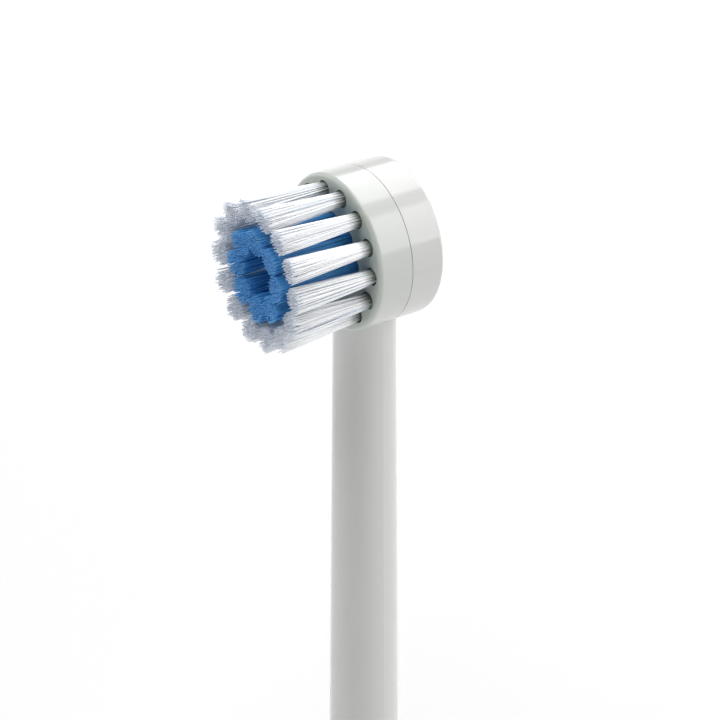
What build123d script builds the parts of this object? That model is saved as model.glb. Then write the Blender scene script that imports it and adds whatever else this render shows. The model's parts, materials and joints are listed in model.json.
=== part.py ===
"""Round oscillating toothbrush head: a neck with a pot at its top, and a tufted carrier that swings on an axle.

Millimetres. +Z runs up the neck's axis from the centre of the base, and the tufts point to -Y.
The carrier's axle runs along Y. The seam between the carrier and the pot lies in the plane of the neck's axis.
"""
from build123d import *
import os
from math import cos, radians, sin, tan

# Barrel at the top of the neck
head_diameter = 13.5
axle_height = 70.0
seam_gap = 0.06
front_edge_radius = 0.35
back_edge_radius = 0.3
pot_wall = 1.0
back_wall = 1.2
boss_wall = 0.7
boss_height = 0.4
saddle_gap = 0.1

# Neck and base
neck_top_diameter = 5.36
neck_foot_diameter = 6.45
shoulder_height = 9.0
base_wall = 0.9
base_land = 0.5
base_edge_bevel = 0.3

# Socket for the handle's spigot, in a sleeve inside the base
handle_bore_diameter = 8.0
socket_depth = 9.0
sleeve_wall = 0.9
guide_length = 1.8

# Clearances
running_clearance = 0.05
end_play = 0.1
fork_clearance = 0.06
tuft_clearance = 0.02

# Drive shaft
shaft_diameter = 2.6
crank_head_diameter = 3.5
crank_head_length = 3.0
collar_diameter = 5.0
nose_diameter = 4.2
drive_socket_diameter = 3.0
drive_socket_flat = 1.05
drive_socket_depth = 5.0
drive_socket_roof = 0.8

# Crank pin: its ball works in the carrier's fork
crank_throw = 1.25
crank_reach = 2.4
crank_pin_diameter = 0.7
crank_ball_diameter = 1.0
crank_pin_seat = 2.0

# Axle pin
axle_diameter = 1.6
axle_head_diameter = 2.6
axle_head_height = 0.5
axle_end_wall = 0.4

# Bristle carrier
skirt_depth = 0.88
skirt_wall = 1.0
tuft_hole_floor = 0.5
hub_wall = 0.8
fork_wall = 0.9
fork_lip = 0.35
fork_end_gap = 0.24

# Tufts
tuft_length = 7.7
tuft_hole_diameter = 1.5
tuft_hole_depth = 1.8
rim_width = 0.57
ring_pitch = 2.48
outer_count = 14
inner_count = 8
outer_tip_diameter = 2.2
inner_tip_diameter = 2.0
cup_angle = 8.0
anchor_width = 1.2
anchor_thickness = 0.25
anchor_height = 1.1

# Radii
head_radius = head_diameter / 2
pot_bore_radius = head_radius - pot_wall
handle_bore_radius = handle_bore_diameter / 2
sleeve_radius = handle_bore_radius + sleeve_wall
base_radius = sleeve_radius + base_wall
shaft_bore_radius = crank_head_diameter / 2 + running_clearance
collar_bore_radius = collar_diameter / 2 + running_clearance
guide_bore_radius = nose_diameter / 2 + running_clearance
axle_radius = axle_diameter / 2
axle_bore_radius = axle_radius + running_clearance
boss_radius = axle_radius + boss_wall
hub_radius = axle_bore_radius + hub_wall
ball_radius = crank_ball_diameter / 2
fork_slot_width = crank_ball_diameter + 2 * fork_clearance
fork_width = fork_slot_width + 2 * fork_wall
tuft_hole_radius = tuft_hole_diameter / 2
tuft_root_radius = tuft_hole_radius - tuft_clearance
outer_ring_radius = head_radius - rim_width - tuft_hole_radius
inner_ring_radius = outer_ring_radius - ring_pitch

# Positions along the barrel, front to back
carrier_rim_y = -seam_gap / 2
pot_rim_y = seam_gap / 2
plate_back_y = carrier_rim_y - skirt_depth
face_y = plate_back_y - tuft_hole_floor - tuft_hole_depth
fork_tip_y = crank_throw + ball_radius
pot_floor_y = fork_tip_y + fork_end_gap
back_y = pot_floor_y + back_wall
boss_front_y = pot_floor_y - boss_height
hub_end_y = boss_front_y - end_play

# Heights up the neck
sleeve_top = socket_depth + guide_length
base_height = sleeve_top + base_land
neck_foot = base_height + shoulder_height
neck_top = axle_height - head_radius
nose_bottom = socket_depth + end_play
collar_bottom = sleeve_top + end_play
collar_top = nose_bottom + drive_socket_depth + drive_socket_roof
crank_head_top = neck_top - saddle_gap - end_play
crank_ball_height = axle_height - crank_reach

# Planes across the barrel, facing forward with local Y up
face_plane = Plane((0, face_y, axle_height), x_dir=(1, 0, 0), z_dir=(0, -1, 0))
plate_plane = face_plane.offset(face_y - plate_back_y)
carrier_rim_plane = face_plane.offset(face_y - carrier_rim_y)
pot_rim_plane = face_plane.offset(face_y - pot_rim_y)
pot_floor_plane = face_plane.offset(face_y - pot_floor_y)

os.makedirs("parts", exist_ok=True)


def write(piece, name):
    """Label a finished piece and write it as its own file."""
    piece.label = name
    export_step(piece, f"parts/{name}.step")


# Neck housing: base, shoulder, neck and pot in one moulding
with BuildPart() as neck_housing:
    with BuildSketch(Plane.XZ):
        with BuildLine():
            neck_side = Line((neck_foot_diameter / 2, neck_foot), (neck_top_diameter / 2, neck_top))
            Spline((base_radius, base_height), neck_side @ 0, tangents=((0, 1), neck_side % 0))
            Polyline((base_radius, base_height), (base_radius, 0), (0, 0), (0, axle_height - pot_bore_radius),
                     (neck_top_diameter / 2, axle_height - pot_bore_radius), neck_side @ 1)
        make_face()
    revolve(axis=Axis.Z)
    chamfer(neck_housing.edges().group_by(Axis.Z)[0], base_edge_bevel)
    with BuildSketch(pot_rim_plane):
        Circle(head_radius)
    extrude(amount=pot_rim_y - back_y)
    fillet(neck_housing.edges().filter_by(GeomType.CIRCLE).sort_by(Axis.Y)[-1], back_edge_radius)
    with BuildSketch(pot_rim_plane):
        Circle(pot_bore_radius)
    extrude(amount=pot_rim_y - pot_floor_y, mode=Mode.SUBTRACT)
    with BuildSketch(pot_floor_plane):
        Circle(boss_radius)
    extrude(amount=boss_height)
    with Locations(pot_floor_plane.offset(boss_height)):
        Hole(axle_radius, depth=back_y - axle_end_wall - boss_front_y)
    # The carrier swings over a saddle cut in the front of the neck
    with BuildSketch(pot_rim_plane):
        Circle(head_radius + saddle_gap)
    extrude(amount=head_diameter, mode=Mode.SUBTRACT)
    # Bores for the sleeve, the shaft's collar and its crank head
    with BuildSketch(Plane.XY):
        Circle(sleeve_radius)
    extrude(amount=sleeve_top, mode=Mode.SUBTRACT)
    with BuildSketch(Plane.XY):
        Circle(collar_bore_radius)
    extrude(amount=collar_top + end_play, mode=Mode.SUBTRACT)
    with BuildSketch(Plane.XY):
        Circle(shaft_bore_radius)
    extrude(amount=crank_ball_height, mode=Mode.SUBTRACT)
write(neck_housing.part, "neck_housing")

# Sleeve in the base: the handle's spigot fills its bore, and its upper end guides the shaft
with BuildPart() as coupling_sleeve:
    with BuildSketch():
        Circle(sleeve_radius)
    extrude(amount=sleeve_top)
    with BuildSketch():
        Circle(handle_bore_radius)
    extrude(amount=socket_depth, mode=Mode.SUBTRACT)
    with BuildSketch():
        Circle(guide_bore_radius)
    extrude(amount=sleeve_top, mode=Mode.SUBTRACT)
write(coupling_sleeve.part, "coupling_sleeve")

# Drive shaft: D-shaped socket below, crank head above
with BuildPart() as drive_shaft:
    with BuildSketch(Plane.XY.offset(nose_bottom)):
        Circle(nose_diameter / 2)
    extrude(amount=collar_bottom - nose_bottom)
    with BuildSketch(Plane.XY.offset(collar_bottom)):
        Circle(collar_diameter / 2)
    extrude(amount=collar_top - collar_bottom)
    with BuildSketch(Plane.XY.offset(collar_top)):
        Circle(shaft_diameter / 2)
    extrude(amount=crank_head_top - collar_top)
    with BuildSketch(Plane.XY.offset(crank_head_top)):
        Circle(crank_head_diameter / 2)
    extrude(amount=-crank_head_length)
    with BuildSketch(Plane.XY.offset(nose_bottom)):
        Circle(drive_socket_diameter / 2)
        with Locations((0, drive_socket_flat)):
            Rectangle(drive_socket_diameter, drive_socket_diameter, align=(Align.CENTER, Align.MIN),
                      mode=Mode.SUBTRACT)
    extrude(amount=drive_socket_depth, mode=Mode.SUBTRACT)
    with Locations((0, crank_throw, crank_head_top)):
        Hole(crank_pin_diameter / 2, depth=crank_pin_seat)
write(drive_shaft.part, "drive_shaft")

# Crank pin: a stem pressed into the crank head, with a ball at its upper end
with BuildPart() as crank_pin:
    with BuildSketch(Plane((0, crank_throw, crank_head_top - crank_pin_seat))):
        Circle(crank_pin_diameter / 2)
    extrude(amount=crank_ball_height - crank_head_top + crank_pin_seat)
    with Locations((0, crank_throw, crank_ball_height)):
        Sphere(ball_radius)
write(crank_pin.part, "crank_pin")

# Axle pin: its head lies in a counterbore in the carrier's face
with BuildPart() as axle_pin:
    with BuildSketch(face_plane):
        Circle(axle_head_diameter / 2)
    extrude(amount=-axle_head_height)
    with BuildSketch(face_plane):
        Circle(axle_radius)
    extrude(amount=face_y - back_y + axle_end_wall)
write(axle_pin.part, "axle_pin")

# Bristle carrier: plate with tuft holes, skirt, hub and the fork that the crank's ball moves
with BuildPart(face_plane) as bristle_carrier:
    with BuildSketch(face_plane):
        Circle(head_radius)
    extrude(amount=face_y - carrier_rim_y)
    fillet(bristle_carrier.edges().sort_by(Axis.Y)[0], front_edge_radius)
    with BuildSketch(carrier_rim_plane):
        Circle(head_radius - skirt_wall)
    extrude(amount=skirt_depth, mode=Mode.SUBTRACT)
    with BuildSketch(plate_plane):
        Circle(hub_radius)
    extrude(amount=plate_back_y - hub_end_y)
    with BuildSketch(plate_plane):
        with Locations((0, -crank_reach - fork_lip)):
            Rectangle(fork_width, crank_reach + fork_lip - hub_radius, align=(Align.CENTER, Align.MIN))
            Rectangle(fork_slot_width, crank_reach + fork_lip - hub_radius, align=(Align.CENTER, Align.MIN),
                      mode=Mode.SUBTRACT)
    extrude(amount=plate_back_y - fork_tip_y)
    with PolarLocations(outer_ring_radius, outer_count):
        Hole(tuft_hole_radius, depth=tuft_hole_depth)
    with PolarLocations(inner_ring_radius, inner_count):
        Hole(tuft_hole_radius, depth=tuft_hole_depth)
    CounterBoreHole(axle_bore_radius, axle_head_diameter / 2 + running_clearance, axle_head_height + end_play)
write(bristle_carrier.part, "bristle_carrier")


def tuft_plane(ring_radius, count, index):
    """Plane on the carrier's face at one tuft, with local X pointing away from the axle."""
    turn = radians(360 * index / count)
    centre = (ring_radius * cos(turn), face_y, axle_height + ring_radius * sin(turn))
    return Plane(centre, x_dir=(cos(turn), 0, sin(turn)), z_dir=(0, -1, 0))


def add_anchor(mode=Mode.ADD):
    """A plate that stands on the floor of a tuft's hole."""
    with Locations((0, 0, -tuft_hole_depth)):
        Box(anchor_width, anchor_thickness, anchor_height, mode=mode,
            align=(Align.CENTER, Align.CENTER, Align.MIN))


def make_tuft(plane, tip_diameter):
    """A bundle that spreads from its hole to its trimmed tip, folded round its anchor."""
    spread_height = tuft_length + tip_diameter * tan(radians(cup_angle))
    tip_normal = plane.z_dir * cos(radians(cup_angle)) - plane.x_dir * sin(radians(cup_angle))
    with BuildPart(plane) as tuft:
        Cylinder(tuft_root_radius, tuft_hole_depth, align=(Align.CENTER, Align.CENTER, Align.MAX))
        Cone(tuft_root_radius, tip_diameter / 2, spread_height, align=(Align.CENTER, Align.CENTER, Align.MIN))
        split(bisect_by=Plane(plane.from_local_coords((0, 0, tuft_length)), z_dir=tip_normal), keep=Keep.BOTTOM)
        add_anchor(Mode.SUBTRACT)
    return tuft.part


outer_planes = [tuft_plane(outer_ring_radius, outer_count, index) for index in range(outer_count)]
inner_planes = [tuft_plane(inner_ring_radius, inner_count, index) for index in range(inner_count)]
for index, plane in enumerate(outer_planes, start=1):
    write(make_tuft(plane, outer_tip_diameter), f"outer_tuft_{index:02d}")
for index, plane in enumerate(inner_planes, start=1):
    write(make_tuft(plane, inner_tip_diameter), f"inner_tuft_{index:02d}")

# Anchors of all the tufts, as one group of plates
with BuildPart(*outer_planes, *inner_planes) as tuft_anchors:
    add_anchor()
write(tuft_anchors.part, "tuft_anchors")
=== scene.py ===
# %% [markdown]
# # A round power toothbrush head
# The part is a refill head: a white moulded neck with a round pot at its top, and a carrier full of bristles
# that swings on an axle in front of the pot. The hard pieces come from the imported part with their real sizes.
# This lesson gives them their finish, grows the bristles and sets up a small bright studio round them.

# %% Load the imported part
import json
import math

import bpy
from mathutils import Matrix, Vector


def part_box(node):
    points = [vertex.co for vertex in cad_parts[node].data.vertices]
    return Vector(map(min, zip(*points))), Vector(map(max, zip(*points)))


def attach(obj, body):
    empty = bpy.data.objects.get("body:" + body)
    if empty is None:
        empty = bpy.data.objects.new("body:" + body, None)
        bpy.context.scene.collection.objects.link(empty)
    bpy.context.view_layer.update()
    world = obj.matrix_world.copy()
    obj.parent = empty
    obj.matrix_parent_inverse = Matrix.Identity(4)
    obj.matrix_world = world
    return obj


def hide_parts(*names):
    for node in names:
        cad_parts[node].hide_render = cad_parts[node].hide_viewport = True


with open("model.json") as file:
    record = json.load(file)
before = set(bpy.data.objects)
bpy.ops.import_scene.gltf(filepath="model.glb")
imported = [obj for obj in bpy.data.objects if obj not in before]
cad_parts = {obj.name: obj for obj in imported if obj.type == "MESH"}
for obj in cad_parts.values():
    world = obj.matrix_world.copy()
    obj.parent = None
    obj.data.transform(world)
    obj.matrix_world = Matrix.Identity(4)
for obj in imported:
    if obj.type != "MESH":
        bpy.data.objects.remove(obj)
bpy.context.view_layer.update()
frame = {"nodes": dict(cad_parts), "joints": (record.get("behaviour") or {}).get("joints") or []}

MM = 0.001

# %% [markdown]
# ## Places taken from the frame
# Everything that is added has to sit where the solids are. Its places could be typed in, but they would go
# wrong when the part changes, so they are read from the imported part. The axle's height comes from the joint
# that the carrier swings on, and the tufts are found by their names.

# %% Axle and tuft nodes
axle_height = next(joint["pos_m"][2] for joint in frame["joints"] if joint["name"] == "carrier_swing")
outer_nodes = sorted(name for name in frame["nodes"] if name.startswith("outer_tuft_"))
inner_nodes = sorted(name for name in frame["nodes"] if name.startswith("inner_tuft_"))
print("axle at", axle_height / MM, "mm,", len(outer_nodes), "outer and", len(inner_nodes), "inner tufts")

# %% [markdown]
# ## The camera
# The head is seen from its right and from above. The camera stands so near that the far edge of the barrel
# looks a little smaller than the near one. Its angles, distance and lens were matched to the barrel's two
# round edges, to the sides of the neck and to the roots of the tufts.

# %% Camera at the photograph's angle
VIEW_AZIMUTH = math.radians(54.6)
VIEW_ELEVATION = math.radians(28.53)
VIEW_DISTANCE = 180.0 * MM
VIEW_SIDE = -0.373 * MM
VIEW_DROP = 11.024 * MM
CLIP_START = 10 * MM
# Blender wants the lens and the sensor in millimetres
LENS_LENGTH = 105.31
SENSOR_WIDTH = 36


def add_camera():
    """A camera to the right of the head, aimed a little below the barrel."""
    back = Vector((math.sin(VIEW_AZIMUTH) * math.cos(VIEW_ELEVATION),
                   -math.cos(VIEW_AZIMUTH) * math.cos(VIEW_ELEVATION),
                   math.sin(VIEW_ELEVATION)))
    right = Vector((math.cos(VIEW_AZIMUTH), math.sin(VIEW_AZIMUTH), 0))
    target = right * VIEW_SIDE + Vector((0, 0, axle_height - VIEW_DROP))
    data = bpy.data.cameras.new("camera")
    data.lens = LENS_LENGTH
    data.sensor_width = SENSOR_WIDTH
    data.sensor_fit = "HORIZONTAL"
    data.clip_start = CLIP_START
    camera = bpy.data.objects.new("camera", data)
    camera.location = target + back * VIEW_DISTANCE
    camera.rotation_euler = back.to_track_quat("Z", "Y").to_euler()
    bpy.context.scene.collection.objects.link(camera)
    bpy.context.scene.camera = camera
    return camera


camera = add_camera()
print("camera at", [round(value / MM, 1) for value in camera.location], "mm")

# %% [markdown]
# ## Two helpers for node trees
# Colours are picked as the hex values that a screen shows, and shaders want linear light, so one function
# turns one into the other. Every node, in a material or in a shape, is added by one more. It sets the node's
# own settings and fills its sockets with plain values, with outputs of earlier nodes, or with earlier nodes,
# which stand for the first output that they have in use.

# %% Colour and node helpers
def linear(hex_colour):
    """A screen colour such as #CECECC as linear red, green, blue and alpha, by the standard sRGB curve."""
    channels = [int(hex_colour[start:start + 2], 16) / 255 for start in (1, 3, 5)]
    return [c / 12.92 if c <= 0.04045 else ((c + 0.055) / 1.055) ** 2.4 for c in channels] + [1.0]


def add_node(tree, kind, sockets=None, **settings):
    """Add a node with its settings, and fill its input sockets with values or links."""
    node = tree.nodes.new(kind)
    for name, value in settings.items():
        setattr(node, name, value)
    for key, value in (sockets or {}).items():
        if isinstance(value, bpy.types.Node):
            value = next(output for output in value.outputs if output.enabled)
        if isinstance(value, bpy.types.NodeSocket):
            tree.links.new(value, node.inputs[key])
        else:
            node.inputs[key].default_value = value
    return node


print("white plastic in linear light:", [round(value, 3) for value in linear("#CECECC")])

# %% [markdown]
# ## Moulded plastic
# The neck and pot are polypropylene from a polished mould: glossy, a little soft in its reflections, and not
# quite even. One flat colour would look drawn, so a coarse noise shifts the colour by a hair and the gloss a
# little more. A fine one, under a millimetre across, leaves the faint orange peel that makes a straight
# reflection waver. The carrier is the same plastic. Its tufted face is painted greyer and greener than its side,
# as painted shade from the tufts, and the colour changes there over a fraction of a millimetre.

# %% Plastic materials
PLASTIC_IOR = 1.5
GLOSS_SPREAD = 0.15
PEEL_STRENGTH = 0.3
PEEL_DEPTH = 0.004 * MM
FACE_FADE = 0.3 * MM
face_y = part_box("bristle_carrier")[0][1]


def plastic(name, colour, shade, roughness, flow, peel, face=None):
    """Glossy moulded plastic with flow marks, orange peel and, if given, painted shade in another colour on its
    face.
    """
    material = bpy.data.materials.new(name)
    material.use_nodes = True
    tree = material.node_tree
    tree.nodes.clear()
    place = add_node(tree, "ShaderNodeTexCoord").outputs["Object"]
    marks = add_node(tree, "ShaderNodeTexNoise", {"Vector": place, "Scale": 1 / flow, "Detail": 2.0})
    skin = add_node(tree, "ShaderNodeTexNoise", {"Vector": place, "Scale": 1 / peel, "Detail": 1.0})
    tint = add_node(tree, "ShaderNodeMix", {"Factor": marks, "A": linear(colour), "B": linear(shade)},
                    data_type="RGBA")
    # If given, the face colour is painted shade: the tufts shade the face, so it is drawn greyer there
    if face:
        depth = add_node(tree, "ShaderNodeSeparateXYZ", {"Vector": place}).outputs["Y"]
        face_shade_mask = add_node(tree, "ShaderNodeMapRange",
                         {"Value": depth, "From Min": face_y + FACE_FADE, "From Max": face_y})
        tint = add_node(tree, "ShaderNodeMix", {"Factor": face_shade_mask, "A": tint, "B": linear(face)},
                        data_type="RGBA")
    gloss = add_node(tree, "ShaderNodeMapRange", {"Value": marks, "To Min": roughness * (1 - GLOSS_SPREAD),
                                                  "To Max": roughness * (1 + GLOSS_SPREAD)})
    bump = add_node(tree, "ShaderNodeBump",
                    {"Height": skin, "Strength": PEEL_STRENGTH, "Distance": PEEL_DEPTH})
    shader = add_node(tree, "ShaderNodeBsdfPrincipled",
                      {"Base Color": tint, "Roughness": gloss, "IOR": PLASTIC_IOR, "Normal": bump})
    add_node(tree, "ShaderNodeOutputMaterial", {"Surface": shader})
    return material


# White polypropylene from a polished mould: a bright gloss whose reflections have soft edges
housing_plastic = plastic("white_polypropylene", "#CECECC", "#CACBC9", roughness=0.12,
                          flow=9 * MM, peel=0.7 * MM)
# The same plastic, a little less polished: white on its side, with painted shade in cool grey green on its face
carrier_plastic = plastic("carrier_polypropylene", "#C9CBC8", "#C5C7C4", roughness=0.15,
                          flow=5 * MM, peel=0.6 * MM, face="#BAC1B9")
# Moulded acetal: pale grey and waxy, with broad dull highlights
inner_plastic = plastic("grey_acetal", "#B9BCBE", "#B2B5B8", roughness=0.35,
                        flow=4 * MM, peel=0.5 * MM)
print("plastics:", housing_plastic.name, carrier_plastic.name, inner_plastic.name)

# %% [markdown]
# ## Metal
# The axle and the crank pin are turned from stainless steel, and the anchors are cut from brass strip.
# Turning and cutting leave fine marks that make the gloss uneven. They could be drawn one by one, but they
# are too fine to show, so a noise that is coarser than the real marks stands for them.

# %% Metal materials
MARK_SPREAD = 0.3


def metal(name, colour, roughness, mark):
    """Plain metal with fine marks from turning or cutting, drawn coarse enough to show."""
    material = bpy.data.materials.new(name)
    material.use_nodes = True
    tree = material.node_tree
    tree.nodes.clear()
    place = add_node(tree, "ShaderNodeTexCoord").outputs["Object"]
    marks = add_node(tree, "ShaderNodeTexNoise", {"Vector": place, "Scale": 1 / mark, "Detail": 3.0})
    gloss = add_node(tree, "ShaderNodeMapRange", {"Value": marks, "To Min": roughness * (1 - MARK_SPREAD),
                                                  "To Max": roughness * (1 + MARK_SPREAD)})
    shader = add_node(tree, "ShaderNodeBsdfPrincipled",
                      {"Base Color": linear(colour), "Metallic": 1.0, "Roughness": gloss})
    add_node(tree, "ShaderNodeOutputMaterial", {"Surface": shader})
    return material


# Turned stainless steel: a cool bright grey with a satin sheen
pin_steel = metal("stainless_steel", "#C9CACB", roughness=0.28, mark=0.15 * MM)
# Cut brass strip: a warm yellow, a little duller than the steel
anchor_brass = metal("brass_strip", "#C9A55C", roughness=0.35, mark=0.2 * MM)
print("metals:", pin_steel.name, anchor_brass.name)

# %% [markdown]
# ## Give the solids their finish
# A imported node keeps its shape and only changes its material. The pieces that no one sees from outside get
# theirs too, because the head can be opened or cut through later.

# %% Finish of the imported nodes
FINISHES = {"neck_housing": housing_plastic, "bristle_carrier": carrier_plastic,
            "coupling_sleeve": inner_plastic, "drive_shaft": inner_plastic,
            "crank_pin": pin_steel, "axle_pin": pin_steel, "tuft_anchors": anchor_brass}
for node_name, material in FINISHES.items():
    mesh = frame["nodes"][node_name].data
    mesh.materials.clear()
    mesh.materials.append(material)
print("finished nodes:", ", ".join(FINISHES))

# %% [markdown]
# ## Nylon for the bristles
# Toothbrush filaments are drawn nylon, smooth along their length and rounded at the tip. Light that goes into
# a white one comes out all over, so a bundle is brighter than the plastic round it, and only its roots and
# gaps turn grey. That light could be followed through every filament, but it is slow and grainy, so the
# colour stands for it, and painted shade greys the roots. The filament's own attributes drive the colour: "along"
# runs from root to tip, and a random number for each filament makes some of them darker streaks. The cores carry
# that number too, high at their ends, which paints the shade in the gaps between the tips.

# %% Nylon materials
NYLON_IOR = 1.53
# Shares of the way from root to tip where the colour changes, from painted shade at the root to the plain middle
# and the tip, and the number that starts a streak or painted shade
ROOT_END = 0.2
STEM_START = 0.31
TIP_START = 0.96
STREAK_START = 0.8


def nylon(name, root, middle, tip, streak_and_gap_shade, roughness):
    """Drawn nylon that changes from root to tip, with painted shade at the root and some darker strands."""
    material = bpy.data.materials.new(name)
    material.use_nodes = True
    tree = material.node_tree
    tree.nodes.clear()
    along = add_node(tree, "ShaderNodeAttribute", attribute_name="along").outputs["Fac"]
    strand_and_shade = add_node(tree, "ShaderNodeAttribute", attribute_name="strand_and_shade").outputs["Fac"]
    ramp = add_node(tree, "ShaderNodeValToRGB", {"Fac": along})
    # The root colour is painted shade, where the filaments leave their dark holes
    stops = ((ROOT_END, root), (STEM_START, middle), (TIP_START, middle), (1.0, tip))
    for position, _ in stops[1:-1]:
        ramp.color_ramp.elements.new(position)
    for element, (position, colour) in zip(ramp.color_ramp.elements, stops):
        element.position = position
        element.color = linear(colour)
    # Strands above the start take the streak colour, and so do the cores' ends, where it is painted shade
    share = add_node(tree, "ShaderNodeMapRange", {"Value": strand_and_shade, "From Min": STREAK_START})
    tint = add_node(tree, "ShaderNodeMix", {"Factor": share, "A": ramp, "B": linear(streak_and_gap_shade)},
                    data_type="RGBA")
    shader = add_node(tree, "ShaderNodeBsdfPrincipled",
                      {"Base Color": tint, "Roughness": roughness, "IOR": NYLON_IOR})
    add_node(tree, "ShaderNodeOutputMaterial", {"Surface": shader})
    return material


# White nylon: bright and silky, with painted grey shade at the roots, and a few cool grey strands whose colour
# also paints the shade at the cores' ends
white_nylon = nylon("white_nylon", root="#7F857D", middle="#FCFDFF", tip="#E4EAF5", streak_and_gap_shade="#C4CDDA",
                    roughness=0.35)
# Dyed nylon: a strong sky blue, paler at the rounded tips, deeper in some strands, and deeper as painted shade at
# the roots and the cores' ends
blue_nylon = nylon("blue_nylon", root="#2F7EC2", middle="#55ACEC", tip="#78BEF0", streak_and_gap_shade="#3280CA",
                   roughness=0.4)
print("nylons:", white_nylon.name, blue_nylon.name)

# %% [markdown]
# ## Growing the bristles
# Each tuft is a bundle of filaments that leaves its hole packed tight and spreads towards its trimmed end.
# Hair curves could draw it, but they have no faces that an exported model could keep. So one Geometry Nodes
# tree grows all the tufts of a ring as thin tubes, from one point for each tuft. The points and the two radii
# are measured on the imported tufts, so the bristles follow if the part is changed.

# %% Start points for a ring of tufts
# The foot and the end are measured on the points that lie in a thin band there
FOOT_BAND = 0.1 * MM
END_BAND = 0.4 * MM
# Each next tuft's pattern is turned by so many radians, so that no two look alike
TUFT_TWIST = 2.1


def ends_of_tuft(node_name):
    """Centre of a tuft's foot, centre of its trimmed end, and its radii at both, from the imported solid."""
    points = [vertex.co for vertex in frame["nodes"][node_name].data.vertices]
    low = min(point.y for point in points)
    high = max(point.y for point in points)
    measured = []
    for group in ([point for point in points if point.y > high - FOOT_BAND],
                  [point for point in points if point.y < low + END_BAND]):
        lows = Vector([min(point[axis] for point in group) for axis in range(3)])
        highs = Vector([max(point[axis] for point in group) for axis in range(3)])
        measured.append(((lows + highs) / 2, (highs.x - lows.x) / 2))
    return measured


def ring_points(name, node_names):
    """A mesh with one point at each tuft's foot, which carries the way to its tip and the way outwards."""
    tufts = [ends_of_tuft(node_name) for node_name in node_names]
    feet = [foot for (foot, _), _ in tufts]
    reaches = [tip - foot for (foot, _), (tip, _) in tufts]
    outwards = [Vector((foot.x, 0, foot.z - axle_height)).normalized() for foot in feet]
    mesh = bpy.data.meshes.new(name)
    mesh.from_pydata(feet, [], [])
    for attribute_name, vectors in (("foot", feet), ("reach", reaches), ("outward", outwards)):
        attribute = mesh.attributes.new(attribute_name, "FLOAT_VECTOR", "POINT")
        attribute.data.foreach_set("vector", [value for vector in vectors for value in vector])
    twist = mesh.attributes.new("twist", "FLOAT", "POINT")
    twist.data.foreach_set("value", [TUFT_TWIST * index for index in range(len(feet))])
    ring = bpy.data.objects.new(name, mesh)
    bpy.context.scene.collection.objects.link(ring)
    (_, foot_radius), (_, tip_radius) = tufts[0]
    return ring, foot_radius, tip_radius


print("first tuft in mm:", [(round(centre.y / MM, 2), round(radius / MM, 2))
                            for centre, radius in ends_of_tuft(outer_nodes[0])])

# %% [markdown]
# The first part of the tree copies each tuft's point once for each filament and lays the copies out in a
# sunflower pattern: each next one turns by the golden angle and stands a little further from the middle. That
# fills a circle evenly with any number of filaments, which rows or rings would not.

# %% Places in a tuft
GOLDEN_ANGLE = math.pi * (3 - math.sqrt(5))
FORWARD = (0, -1, 0)


def sunflower(tree, given):
    """A copy of its tuft's point for each filament, and its place in a circle of radius one."""
    copies = add_node(tree, "GeometryNodeDuplicateElements",
                      {"Geometry": given["Geometry"], "Amount": given["Filaments"]}, domain="POINT")
    number = copies.outputs["Duplicate Index"]
    # Each filament stands in the middle of its own share of the circle's area
    filled = add_node(tree, "ShaderNodeMath", {0: number, 1: 0.5}, operation="ADD")
    filled = add_node(tree, "ShaderNodeMath", {0: filled, 1: given["Filaments"]}, operation="DIVIDE")
    spread = add_node(tree, "ShaderNodeMath", {0: filled}, operation="SQRT")
    twist = add_node(tree, "GeometryNodeInputNamedAttribute", {"Name": "twist"}, data_type="FLOAT")
    turn = add_node(tree, "ShaderNodeMath", {0: number, 1: GOLDEN_ANGLE, 2: twist}, operation="MULTIPLY_ADD")
    outward = add_node(tree, "GeometryNodeInputNamedAttribute", {"Name": "outward"}, data_type="FLOAT_VECTOR")
    way = add_node(tree, "ShaderNodeVectorRotate", {"Vector": outward, "Axis": FORWARD, "Angle": turn})
    place = add_node(tree, "ShaderNodeVectorMath", {0: way, "Scale": spread}, operation="SCALE")
    return copies, place


print("golden angle in degrees:", round(math.degrees(GOLDEN_ANGLE), 2))

# %% [markdown]
# The foot and the tip of every filament are kept on its point. Tips follow the cupped trim, stray sideways
# and come out a little short, since no two are cut quite alike. Each filament also gets a slight bow and a
# strand number. The three random draws have seeds of their own, so that they don't go together.

# %% Feet and tips of the filaments
BOW_SEED_STEP = 1.0
STRAND_SEED_STEP = 2.0


def trimmed_tip(tree, given, place):
    """Where each filament ends: spread out, cupped, a little astray and a little short."""
    root = add_node(tree, "GeometryNodeInputNamedAttribute", {"Name": "foot"}, data_type="FLOAT_VECTOR")
    reach = add_node(tree, "GeometryNodeInputNamedAttribute", {"Name": "reach"}, data_type="FLOAT_VECTOR")
    outward = add_node(tree, "GeometryNodeInputNamedAttribute", {"Name": "outward"}, data_type="FLOAT_VECTOR")
    tip = add_node(tree, "ShaderNodeVectorMath", {0: root, 1: reach}, operation="ADD")
    tip = add_node(tree, "ShaderNodeVectorMath", {0: place, 1: given["Tip Radius"], 2: tip},
                   operation="MULTIPLY_ADD")
    outer = add_node(tree, "ShaderNodeVectorMath", {0: place, 1: outward}, operation="DOT_PRODUCT")
    cup = add_node(tree, "ShaderNodeMath", {0: outer.outputs["Value"], 1: given["Cup Height"]},
                   operation="MULTIPLY")
    tip = add_node(tree, "ShaderNodeVectorMath", {0: FORWARD, 1: cup, 2: tip}, operation="MULTIPLY_ADD")
    error = add_node(tree, "FunctionNodeRandomValue",
                     {"Min": (-1, 0, -1), "Max": (1, 1, 1), "Seed": given["Seed"]}, data_type="FLOAT_VECTOR")
    return add_node(tree, "ShaderNodeVectorMath", {0: error, 1: given["Trim Error"], 2: tip},
                    operation="MULTIPLY_ADD")


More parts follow.
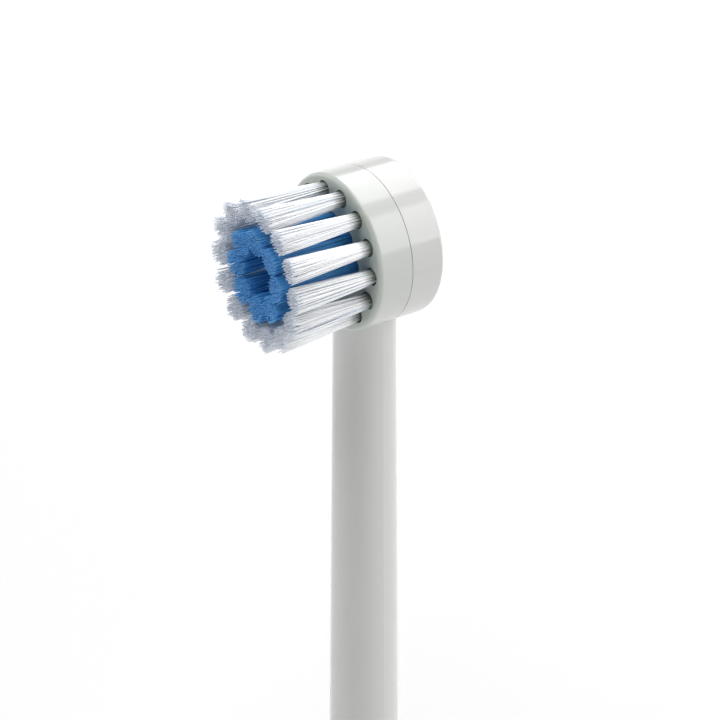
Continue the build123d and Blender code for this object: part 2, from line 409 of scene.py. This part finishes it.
def lay_out(tree, given):
    """Points of all the filaments, each with its foot, tip, bow and strand number."""
    points, place = sunflower(tree, given)
    tip = trimmed_tip(tree, given, place)
    root = add_node(tree, "GeometryNodeInputNamedAttribute", {"Name": "foot"}, data_type="FLOAT_VECTOR")
    foot = add_node(tree, "ShaderNodeVectorMath", {0: place, 1: given["Foot Radius"], 2: root},
                    operation="MULTIPLY_ADD")
    bow_seed = add_node(tree, "ShaderNodeMath", {0: given["Seed"], 1: BOW_SEED_STEP}, operation="ADD")
    bow = add_node(tree, "FunctionNodeRandomValue",
                   {"Min": (-1, 0, -1), "Max": (1, 0, 1), "Seed": bow_seed}, data_type="FLOAT_VECTOR")
    bow = add_node(tree, "ShaderNodeVectorMath", {0: bow, "Scale": given["Bow"]}, operation="SCALE")
    strand_seed = add_node(tree, "ShaderNodeMath", {0: given["Seed"], 1: STRAND_SEED_STEP}, operation="ADD")
    strand_and_shade = add_node(tree, "FunctionNodeRandomValue", {"Seed": strand_seed}, data_type="FLOAT")
    # The tip is measured from the tuft's foot, so the filament's own foot is stored after it
    for name, kind, value in (("tip", "FLOAT_VECTOR", tip), ("bow", "FLOAT_VECTOR", bow),
                              ("strand_and_shade", "FLOAT", strand_and_shade), ("foot", "FLOAT_VECTOR", foot)):
        points = add_node(tree, "GeometryNodeStoreNamedAttribute",
                          {"Geometry": points, "Name": name, "Value": value}, data_type=kind, domain="POINT")
    return points


print("seeds of a ring: its own, and", BOW_SEED_STEP, "and", STRAND_SEED_STEP, "more")

# %% [markdown]
# Filaments and cores are both long round bodies with a blunt end, so they start from the same lines: one line
# on each point, whose last length is very short. The share of the way along it is kept as "along", and a
# number that is 1 at the end and 0 before it helps to thin the tip.

# %% Lines with a short last length
TUBE_POINTS = 6
TUBE_ROUND_START = 0.985
CORE_POINTS = 3
CORE_ROUND_START = 0.93


def lines_on(tree, points, count, round_start):
    """A line of several lengths on each point, and the number that marks its last point."""
    line = add_node(tree, "GeometryNodeCurvePrimitiveLine", {"End": (0, 0, 1)})
    line = add_node(tree, "GeometryNodeResampleCurve", {"Curve": line, "Count": count})
    lines = add_node(tree, "GeometryNodeInstanceOnPoints", {"Points": points, "Instance": line})
    lines = add_node(tree, "GeometryNodeRealizeInstances", {"Geometry": lines})
    share = add_node(tree, "GeometryNodeSplineParameter").outputs["Factor"]
    length = 1 / (count - 1)
    last = add_node(tree, "ShaderNodeMath", {0: share, 1: 1 - length / 2}, operation="GREATER_THAN")
    body = add_node(tree, "ShaderNodeMapRange",
                    {"Value": share, "From Max": 1 - length, "To Max": round_start})
    along = add_node(tree, "ShaderNodeMath", {0: last, 1: 1 - round_start, 2: body}, operation="MULTIPLY_ADD")
    lines = add_node(tree, "GeometryNodeStoreNamedAttribute",
                     {"Geometry": lines, "Name": "along", "Value": along}, data_type="FLOAT", domain="POINT")
    return lines, last


print("points on a filament's line:", TUBE_POINTS, "and on a core's:", CORE_POINTS)

# %% [markdown]
# The second part runs a thin tube through every filament. A tube has six sides and five lengths, and half its
# thickness at the end rounds the tip. More would not show, and each ring has over a thousand tubes.

# %% Tubes for the filaments
TUBE_SIDES = 6
TUBE_END_WIDTH = 0.5


def draw_filaments(tree, given, points):
    """A tube from the foot to the tip of each filament, bowed a little."""
    lines, last = lines_on(tree, points, TUBE_POINTS, TUBE_ROUND_START)
    foot = add_node(tree, "GeometryNodeInputNamedAttribute", {"Name": "foot"}, data_type="FLOAT_VECTOR")
    tip = add_node(tree, "GeometryNodeInputNamedAttribute", {"Name": "tip"}, data_type="FLOAT_VECTOR")
    bow = add_node(tree, "GeometryNodeInputNamedAttribute", {"Name": "bow"}, data_type="FLOAT_VECTOR")
    along = add_node(tree, "GeometryNodeInputNamedAttribute", {"Name": "along"}, data_type="FLOAT")
    straight = add_node(tree, "ShaderNodeMix", {"Factor": along, "A": foot, "B": tip}, data_type="VECTOR")
    swing = add_node(tree, "ShaderNodeMath", {0: along, 1: math.pi}, operation="MULTIPLY")
    swing = add_node(tree, "ShaderNodeMath", {0: swing}, operation="SINE")
    bowed = add_node(tree, "ShaderNodeVectorMath", {0: bow, 1: swing, 2: straight}, operation="MULTIPLY_ADD")
    curves = add_node(tree, "GeometryNodeSetPosition", {"Geometry": lines, "Position": bowed})
    thick = add_node(tree, "ShaderNodeMath", {0: last, 1: TUBE_END_WIDTH - 1, 2: 1.0},
                     operation="MULTIPLY_ADD")
    thick = add_node(tree, "ShaderNodeMath", {0: thick, 1: given["Filament Radius"]}, operation="MULTIPLY")
    ring = add_node(tree, "GeometryNodeCurvePrimitiveCircle", {"Resolution": TUBE_SIDES, "Radius": 1.0})
    return add_node(tree, "GeometryNodeCurveToMesh",
                    {"Curve": curves, "Profile Curve": ring, "Scale": thick, "Fill Caps": True})


print("faces of one filament:", TUBE_SIDES * (TUBE_POINTS - 1) + 2)

# %% [markdown]
# Deep inside a real bundle the filaments touch and no gap is left to see through. More filaments could fill
# that space, but no one would see them, so a plain core stands for them. It is a cone inside each tuft that
# ends below the tips, and its end takes the streak colour as painted shade, so the end of the bundle still
# shows single filaments with dark gaps.

# %% Cores of the tufts
# Lengths and widths are shares of the bundle's own
CORE_LENGTH = 0.945
CORE_WIDTH = 0.95
CORE_SIDES = 14
CORE_END_WIDTH = 0.75
# The core's end gets this strand number, which paints shade in the streak colour at the gaps between the tips
CORE_END_PAINTED_SHADE = 0.96


def draw_cores(tree, given):
    """A cone inside each tuft, from its foot to a little below the tips, with painted shade at its end."""
    lines, last = lines_on(tree, given["Geometry"], CORE_POINTS, CORE_ROUND_START)
    # Painted shade: the core's end is marked like a dark strand, so it takes the streak colour
    shade = add_node(tree, "ShaderNodeMath", {0: last, 1: CORE_END_PAINTED_SHADE}, operation="MULTIPLY")
    lines = add_node(tree, "GeometryNodeStoreNamedAttribute",
                     {"Geometry": lines, "Name": "strand_and_shade", "Value": shade}, data_type="FLOAT", domain="POINT")
    along = add_node(tree, "GeometryNodeInputNamedAttribute", {"Name": "along"}, data_type="FLOAT")
    foot = add_node(tree, "GeometryNodeInputNamedAttribute", {"Name": "foot"}, data_type="FLOAT_VECTOR")
    reach = add_node(tree, "GeometryNodeInputNamedAttribute", {"Name": "reach"}, data_type="FLOAT_VECTOR")
    way = add_node(tree, "ShaderNodeMath", {0: along, 1: CORE_LENGTH}, operation="MULTIPLY")
    place = add_node(tree, "ShaderNodeVectorMath", {0: reach, 1: way, 2: foot}, operation="MULTIPLY_ADD")
    curves = add_node(tree, "GeometryNodeSetPosition", {"Geometry": lines, "Position": place})
    thick = add_node(tree, "ShaderNodeMix",
                     {"Factor": way, "A": given["Foot Radius"], "B": given["Tip Radius"]}, data_type="FLOAT")
    full = add_node(tree, "ShaderNodeMath", {0: last, 1: CORE_END_WIDTH - CORE_WIDTH, 2: CORE_WIDTH},
                    operation="MULTIPLY_ADD")
    thick = add_node(tree, "ShaderNodeMath", {0: thick, 1: full}, operation="MULTIPLY")
    ring = add_node(tree, "GeometryNodeCurvePrimitiveCircle", {"Resolution": CORE_SIDES, "Radius": 1.0})
    return add_node(tree, "GeometryNodeCurveToMesh",
                    {"Curve": curves, "Profile Curve": ring, "Scale": thick, "Fill Caps": True})


print("faces of one core:", CORE_SIDES * (CORE_POINTS - 1) + 2)

# %% [markdown]
# The tree joins both parts and keeps its sizes as named inputs. All random draws come from the seed. It ends
# by making instances real and setting the material, because an exported model keeps no instances.

# %% The tree that grows a ring
BRISTLE_INPUTS = {"Geometry": "NodeSocketGeometry", "Filaments": "NodeSocketInt",
                  "Foot Radius": "NodeSocketFloat", "Tip Radius": "NodeSocketFloat",
                  "Filament Radius": "NodeSocketFloat", "Cup Height": "NodeSocketFloat",
                  "Trim Error": "NodeSocketVector", "Bow": "NodeSocketFloat",
                  "Seed": "NodeSocketInt", "Material": "NodeSocketMaterial"}


def bristle_tree():
    """Geometry Nodes that turn one point for each tuft into its filaments and its core."""
    tree = bpy.data.node_groups.new("bristle_ring", "GeometryNodeTree")
    for name, kind in BRISTLE_INPUTS.items():
        tree.interface.new_socket(name, in_out="INPUT", socket_type=kind)
    tree.interface.new_socket("Geometry", in_out="OUTPUT", socket_type="NodeSocketGeometry")
    given = add_node(tree, "NodeGroupInput").outputs
    tubes = draw_filaments(tree, given, lay_out(tree, given))
    cores = draw_cores(tree, given)
    both = add_node(tree, "GeometryNodeJoinGeometry", {"Geometry": tubes})
    tree.links.new(cores.outputs["Mesh"], both.inputs["Geometry"])
    smooth = add_node(tree, "GeometryNodeSetShadeSmooth", {"Geometry": both})
    solid = add_node(tree, "GeometryNodeRealizeInstances", {"Geometry": smooth})
    dressed = add_node(tree, "GeometryNodeSetMaterial", {"Geometry": solid, "Material": given["Material"]})
    add_node(tree, "NodeGroupOutput", {"Geometry": dressed})
    return tree


bristle_ring = bristle_tree()
print("tree", bristle_ring.name, "with", len(bristle_ring.nodes), "nodes")

# %% [markdown]
# Each ring runs the tree once. The result becomes a plain mesh that rides on the swinging carrier and takes
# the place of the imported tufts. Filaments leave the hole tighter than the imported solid, which leaves the dark
# rim round each root, and splay a little wider at the tips, the blue ones more than the white.

# %% Grow both rings
FILAMENTS = 140
FILAMENT_RADIUS = 0.072 * MM
# The filaments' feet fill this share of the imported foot's radius
ROOT_SHARE = 0.6
CUP_SLOPE = math.tan(math.radians(8))


def grow(name, node_names, material, seed, splay, stray, short, bow):
    """Run the tree on a ring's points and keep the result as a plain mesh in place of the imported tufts."""
    ring, foot_radius, tip_radius = ring_points(name, node_names)
    tip_radius = tip_radius * splay - FILAMENT_RADIUS
    values = {"Filaments": FILAMENTS, "Foot Radius": foot_radius * ROOT_SHARE, "Tip Radius": tip_radius,
              "Filament Radius": FILAMENT_RADIUS, "Cup Height": tip_radius * CUP_SLOPE,
              "Trim Error": (stray, short, stray), "Bow": bow, "Seed": seed, "Material": material}
    modifier = ring.modifiers.new("bristles", "NODES")
    modifier.node_group = bristle_ring
    for item in bristle_ring.interface.items_tree:
        if item.in_out == "INPUT" and item.name in values:
            modifier[item.identifier] = values[item.name]
    seen = ring.evaluated_get(bpy.context.evaluated_depsgraph_get())
    mesh = bpy.data.meshes.new_from_object(seen)
    ring.modifiers.remove(modifier)
    ring.data = mesh
    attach(ring, "brush")
    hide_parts(*node_names)
    print(name, "has", len(mesh.polygons), "faces and", len(mesh.vertices), "points")


grow("outer_bristles", outer_nodes, white_nylon, seed=11, splay=1.05,
     stray=0.08 * MM, short=0.2 * MM, bow=0.06 * MM)
grow("inner_bristles", inner_nodes, blue_nylon, seed=23, splay=1.22,
     stray=0.06 * MM, short=0.1 * MM, bow=0.05 * MM)

# %% [markdown]
# ## A bright studio
# White plastic on white needs darker places to reflect. In an even white light its shape would be lost. So a
# pale floor runs out to a pale horizon, and the air above darkens upwards. One soft panel stands high behind
# the head on its left and makes the broad highlight on the barrel. Three weaker ones light the tufts from
# above and both sides of the neck.

# %% Floor and horizon
FLOOR_SIZE = 1.8
FLOOR_COLOUR = "#DBDBDB"
FLOOR_ROUGHNESS = 0.8
AIR_COLOUR = "#F8F9F9"
# Heights are those of a direction of length one, from 0 at the horizon to 1 overhead
PALE_UP_TO = 0.08
DARK_FROM = 0.26
PALE_STRENGTH = 0.95
DARK_STRENGTH = 0.06


def add_floor():
    """A plain pale floor under the head."""
    half = FLOOR_SIZE / 2
    corners = [(-half, -half, 0), (half, -half, 0), (half, half, 0), (-half, half, 0)]
    mesh = bpy.data.meshes.new("floor")
    mesh.from_pydata(corners, [], [(0, 1, 2, 3)])
    material = bpy.data.materials.new("pale_floor")
    material.use_nodes = True
    shader = material.node_tree.nodes["Principled BSDF"]
    shader.inputs["Base Color"].default_value = linear(FLOOR_COLOUR)
    shader.inputs["Roughness"].default_value = FLOOR_ROUGHNESS
    mesh.materials.append(material)
    floor = bpy.data.objects.new("floor", mesh)
    bpy.context.scene.collection.objects.link(floor)
    return floor


def add_horizon():
    """Air that is pale at the horizon and darkens upwards."""
    world = bpy.data.worlds.new("studio_air")
    world.use_nodes = True
    tree = world.node_tree
    tree.nodes.clear()
    way = add_node(tree, "ShaderNodeTexCoord").outputs["Generated"]
    height = add_node(tree, "ShaderNodeSeparateXYZ", {"Vector": way}).outputs["Z"]
    fade = add_node(tree, "ShaderNodeMapRange",
                    {"Value": height, "From Min": PALE_UP_TO, "From Max": DARK_FROM,
                     "To Min": PALE_STRENGTH, "To Max": DARK_STRENGTH}, interpolation_type="SMOOTHSTEP")
    air = add_node(tree, "ShaderNodeBackground", {"Color": linear(AIR_COLOUR), "Strength": fade})
    add_node(tree, "ShaderNodeOutputWorld", {"Surface": air})
    bpy.context.scene.world = world
    return world


floor = add_floor()
air = add_horizon()
print("stage:", floor.name, "and", air.name)

# %% [markdown]
# A panel is as bright as its radiance, however large it is, so its power follows from its area. The view
# transform stays plain, because the colours were picked as a screen shows them.

# %% Panels and exposure
def add_panel(name, direction, distance, side, radiance):
    """A square soft panel that faces the head from a direction."""
    data = bpy.data.lights.new(name, "AREA")
    data.shape = "SQUARE"
    data.size = side
    data.energy = radiance * math.pi * side ** 2
    panel = bpy.data.objects.new(name, data)
    towards = Vector(direction).normalized()
    panel.location = Vector((0, 0, axle_height)) + towards * distance
    panel.rotation_euler = towards.to_track_quat("Z", "Y").to_euler()
    bpy.context.scene.collection.objects.link(panel)
    return panel


panels = [add_panel("high_left_panel", (-0.353, 0.530, 0.771), distance=1.4, side=1.17, radiance=3.85),
          add_panel("top_panel", (0.05, -0.25, 0.97), distance=2.0, side=1.5, radiance=3.4),
          add_panel("left_panel", (-0.80, -0.50, 0.33), distance=2.0, side=1.5, radiance=1.5),
          add_panel("right_panel", (0.60, 0.65, 0.46), distance=2.0, side=1.5, radiance=3.2)]
view = bpy.context.scene.view_settings
view.view_transform = "Standard"
view.look = "None"
view.exposure = 0.0
print("lights:", ", ".join(panel.name for panel in panels))
